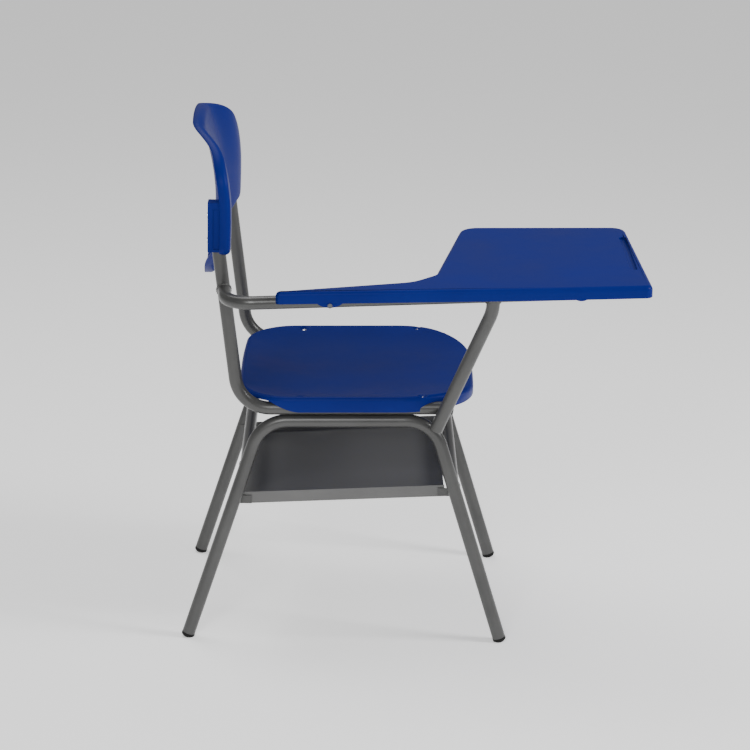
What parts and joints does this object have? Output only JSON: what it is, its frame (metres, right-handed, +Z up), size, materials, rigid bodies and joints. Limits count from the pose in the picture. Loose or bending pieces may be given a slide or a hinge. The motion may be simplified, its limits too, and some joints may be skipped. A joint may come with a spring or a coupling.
{
  "type": "student desk chair",
  "caption": "Classroom chair on a bent steel tube frame with a moulded seat and backrest, a right-hand writing tablet with a pen groove, and a book tray under the seat.",
  "frame": {"origin": "bottom centre of the chair's bounding box, on the floor", "axes": "+X forward, the way the sitter faces; +Y to the sitter's left; +Z up"},
  "size_m": [0.7681, 0.5133, 0.873],
  "materials": {
    "frame_paint": "satin grey powder coat",
    "blue_plastic": "soft gloss, moulded",
    "black_plug": "matte",
    "zinc_steel": "bright zinc"
  },
  "bodies": {
    "root": {"leg_frame_right": "frame_paint", "leg_frame_left": "frame_paint", "back_tube_right": "frame_paint", "back_tube_left": "frame_paint", "rear_crossbar": "frame_paint", "front_crossbar": "frame_paint", "arm_tube": "frame_paint", "arm_post": "frame_paint", "tablet_strap_rear": "frame_paint", "tablet_strap_front": "frame_paint", "book_tray": "frame_paint", "foot_plugs": "black_plug", "rail_end_plugs": "black_plug", "arm_end_plug": "black_plug", "seat_shell": "blue_plastic", "seat_rivets": "zinc_steel", "backrest_shell": "blue_plastic", "back_socket_right": "blue_plastic", "back_socket_left": "blue_plastic", "backrest_rivets": "zinc_steel", "tablet_shell": "blue_plastic", "tablet_screws": "zinc_steel", "tray_tabs": "frame_paint"}
  },
  "joints": []
}
